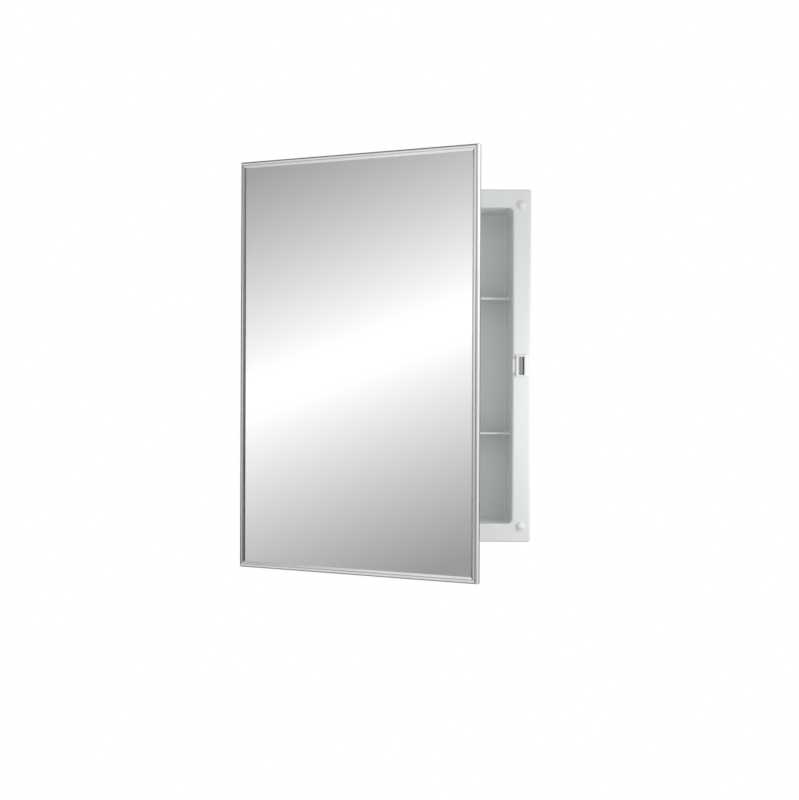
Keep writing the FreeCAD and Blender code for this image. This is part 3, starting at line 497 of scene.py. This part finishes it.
def makeCard():
    towards = Vector(card["towards"]).normalized()
    across = Vector((-towards.y, towards.x, 0.0)).normalized()
    tall = card["height"] / 2
    reflector = addObject("reflector", [(card["left"], 0, -tall), (card["right"], 0, -tall),
                                        (card["right"], 0, tall), (card["left"], 0, tall)], [(0, 1, 2, 3)])
    basis = Matrix((across, towards, Vector((0, 0, 1)))).transposed().to_4x4()
    middle = doorPlace(*card["mirrorMiddle"]) + towards * card["distance"]
    reflector.matrix_world = Matrix.Translation(middle) @ basis
    material, tree, shader = newMaterial("reflectorGlow")
    tree.nodes.remove(shader)
    glow = addNode(tree, "ShaderNodeEmission")
    glow.inputs["Color"].default_value = card["tint"]
    place = addNode(tree, "ShaderNodeTexCoord")
    split = addNode(tree, "ShaderNodeSeparateXYZ")
    tree.links.new(place.outputs["Object"], split.inputs["Vector"])
    sideways = split.outputs["X"]
    height = mathNode(tree, "ABSOLUTE", split.outputs["Z"])
    slanted = mathNode(tree, "MULTIPLY_ADD", sideways, -card["lean"], split.outputs["Z"])
    offset = mathNode(tree, "ABSOLUTE", mathNode(tree, "SUBTRACT", slanted, card["middle"]))
    tone = mathNode(tree, "MULTIPLY_ADD", offset, -card["fall"], card["peak"])
    # lighter beyond what the mirror shows, for the frame's flats
    atEnds = rangeNode(tree, height, card["endStart"], card["endFull"])
    atSide = rangeNode(tree, sideways, card["sideStart"], card["sideFull"])
    lowest = mathNode(tree, "MAXIMUM", mathNode(tree, "MAXIMUM", atEnds, atSide), card["lowest"])
    bright = mathNode(tree, "POWER", mathNode(tree, "MAXIMUM", tone, lowest), card["gamma"])
    tree.links.new(mathNode(tree, "MULTIPLY", bright, card["gain"]), glow.inputs["Strength"])
    # soft edges, so that no outline of the card shows in the mirror
    fromMiddle = mathNode(tree, "ABSOLUTE", mathNode(tree, "SUBTRACT", sideways,
                                                     (card["left"] + card["right"]) / 2))
    edges = [rangeNode(tree, away, half, half - card["fade"])
             for away, half in ((fromMiddle, (card["right"] - card["left"]) / 2), (height, tall))]
    clear = addNode(tree, "ShaderNodeBsdfTransparent")
    faded = addNode(tree, "ShaderNodeMixShader")
    tree.links.new(mathNode(tree, "MULTIPLY", *edges), faded.inputs["Fac"])
    tree.links.new(clear.outputs["BSDF"], faded.inputs[1])
    tree.links.new(glow.outputs["Emission"], faded.inputs[2])
    tree.links.new(faded.outputs["Shader"], tree.nodes["Material Output"].inputs["Surface"])
    reflector.data.materials[0] = material
    reflector.visible_camera = False
    reflector.visible_diffuse = False
    reflector.visible_shadow = False


makeCard()

# what gloss sees all round near the level, by bearing from the front in degrees: brightness
bearings = {-180: 0.25, -165: 0.12, -144: 0.08, -138: 0.85, -129: 0.85, -123: 0.02, -91: 0.02, -85: 0.6,
            -62: 0.8, -46: 0.6, -33: 0.42, -25: 0.11, -16: 0.11, -7: 0.42, 20: 0.45, 56: 0.55, 72: 1.0,
            108: 1.0, 117: 0.16, 158: 0.16, 180: 0.25}
# levels and steepness run from 0 at the level to 1 straight up or down
studio = {"ambient": 0.96, "ambientTop": 0.55, "ambientFrom": 0.15, "lowGain": 0.8, "highGain": 1.45,
          "gainSpan": 0.12, "highLift": 0.12, "liftSpan": 0.14, "glossTop": 0.52, "glossFloor": 0.84,
          "glossSpan": 0.2, "steepStart": 0.3, "steepFull": 0.6, "rear": 0.3, "rearStart": 0.12,
          "rearFull": 0.34}


def makeStudio():
    world = bpy.data.worlds.new("studio")
    bpy.context.scene.world = world
    world.use_nodes = True
    sky = world.node_tree
    soft = sky.nodes["Background"]  # for matt surfaces
    white = addNode(sky, "ShaderNodeBackground")  # what the camera sees
    gloss = addNode(sky, "ShaderNodeBackground")
    place = addNode(sky, "ShaderNodeTexCoord")
    split = addNode(sky, "ShaderNodeSeparateXYZ")
    sky.links.new(place.outputs["Generated"], split.inputs["Vector"])
    level = split.outputs["Z"]
    steep = mathNode(sky, "ABSOLUTE", level)
    forward = mathNode(sky, "MULTIPLY", split.outputs["Y"], -1.0)
    bearing = mathNode(sky, "ARCTAN2", split.outputs["X"], forward)
    turn = mathNode(sky, "MULTIPLY_ADD", bearing, 0.5 / math.pi, 0.5)
    ramp = addNode(sky, "ShaderNodeValToRGB")
    ramp.color_ramp.interpolation = "EASE"
    while len(ramp.color_ramp.elements) < len(bearings):
        ramp.color_ramp.elements.new(0.5)
    for stop, (angle, bright) in zip(ramp.color_ramp.elements, sorted(bearings.items())):
        stop.position = angle / 360 + 0.5
        stop.color = (bright, bright, bright, 1)
    sky.links.new(turn, ramp.inputs["Fac"])
    # near the level the bearings show, brighter above it than below
    gain = rangeNode(sky, level, -studio["gainSpan"], studio["gainSpan"], studio["lowGain"],
                     studio["highGain"])
    lift = rangeNode(sky, level, 0.0, studio["liftSpan"], 0.0, studio["highLift"])
    around = mathNode(sky, "ADD", mathNode(sky, "MULTIPLY", ramp.outputs["Color"], gain), lift)
    # steeper up or down one soft tone takes over, and it is darker towards the rear
    cap = rangeNode(sky, level, -studio["glossSpan"], studio["glossSpan"], studio["glossFloor"],
                    studio["glossTop"])
    rear = rangeNode(sky, split.outputs["Y"], studio["rearStart"], studio["rearFull"], 1.0, studio["rear"])
    cap = mathNode(sky, "MULTIPLY", cap, rear)
    share = rangeNode(sky, steep, studio["steepStart"], studio["steepFull"])
    blended = mathNode(sky, "ADD", mathNode(sky, "MULTIPLY", cap, share),
                       mathNode(sky, "MULTIPLY", around, mathNode(sky, "SUBTRACT", 1.0, share)))
    sky.links.new(blended, gloss.inputs["Strength"])
    ambient = rangeNode(sky, steep, studio["ambientFrom"], 1.0, studio["ambient"], studio["ambientTop"])
    sky.links.new(ambient, soft.inputs["Strength"])
    for node in (soft, white, gloss):
        node.inputs["Color"].default_value = (1, 1, 1, 1)
    path = addNode(sky, "ShaderNodeLightPath")
    mattOrGloss = addNode(sky, "ShaderNodeMixShader")
    cameraOrNot = addNode(sky, "ShaderNodeMixShader")
    sky.links.new(path.outputs["Is Diffuse Ray"], mattOrGloss.inputs["Fac"])
    sky.links.new(gloss.outputs["Background"], mattOrGloss.inputs[1])
    sky.links.new(soft.outputs["Background"], mattOrGloss.inputs[2])
    sky.links.new(path.outputs["Is Camera Ray"], cameraOrNot.inputs["Fac"])
    sky.links.new(mattOrGloss.outputs["Shader"], cameraOrNot.inputs[1])
    sky.links.new(white.outputs["Background"], cameraOrNot.inputs[2])
    sky.links.new(cameraOrNot.outputs["Shader"], sky.nodes["World Output"].inputs["Surface"])


makeStudio()

# a tall soft light on the right, close by
sideLight = {"place": (0.36, -0.20, -0.05), "aim": (0.17, 0.0, -0.04), "width": 0.1, "height": 0.28,
             "power": 0.42}


def makeSideLight():
    data = bpy.data.lights.new("sideLight", "AREA")
    data.shape = "RECTANGLE"
    data.size = sideLight["width"]
    data.size_y = sideLight["height"]
    data.energy = sideLight["power"]
    lamp = bpy.data.objects.new("sideLight", data)
    bpy.context.scene.collection.objects.link(lamp)
    lamp.location = sideLight["place"]
    lamp.rotation_euler = (Vector(sideLight["aim"]) - lamp.location).to_track_quat("-Z", "Y").to_euler()
    lamp.visible_camera = False
    lamp.visible_glossy = False


makeSideLight()

ground = {"level": -0.75, "left": -1.3, "right": 1.3, "near": -1.9, "far": 0.62,
          "tone": (0.85, 0.85, 0.85, 1), "rough": 0.8}


def makeFloor():
    corners = [(x, y, ground["level"]) for x, y in ((ground["left"], ground["near"]),
                                                    (ground["right"], ground["near"]),
                                                    (ground["right"], ground["far"]),
                                                    (ground["left"], ground["far"]))]
    material, tree, shader = newMaterial("paleFloor")
    shader.inputs["Base Color"].default_value = ground["tone"]
    shader.inputs["Roughness"].default_value = ground["rough"]
    floor = addObject("floor", corners, [(0, 1, 2, 3)], material)
    # gloss, and the mirror through its glass, see the studio's own floor tone
    floor.visible_glossy = False
    floor.visible_transmission = False


makeFloor()
bpy.context.scene.view_settings.view_transform = "Standard"
print("studio set")
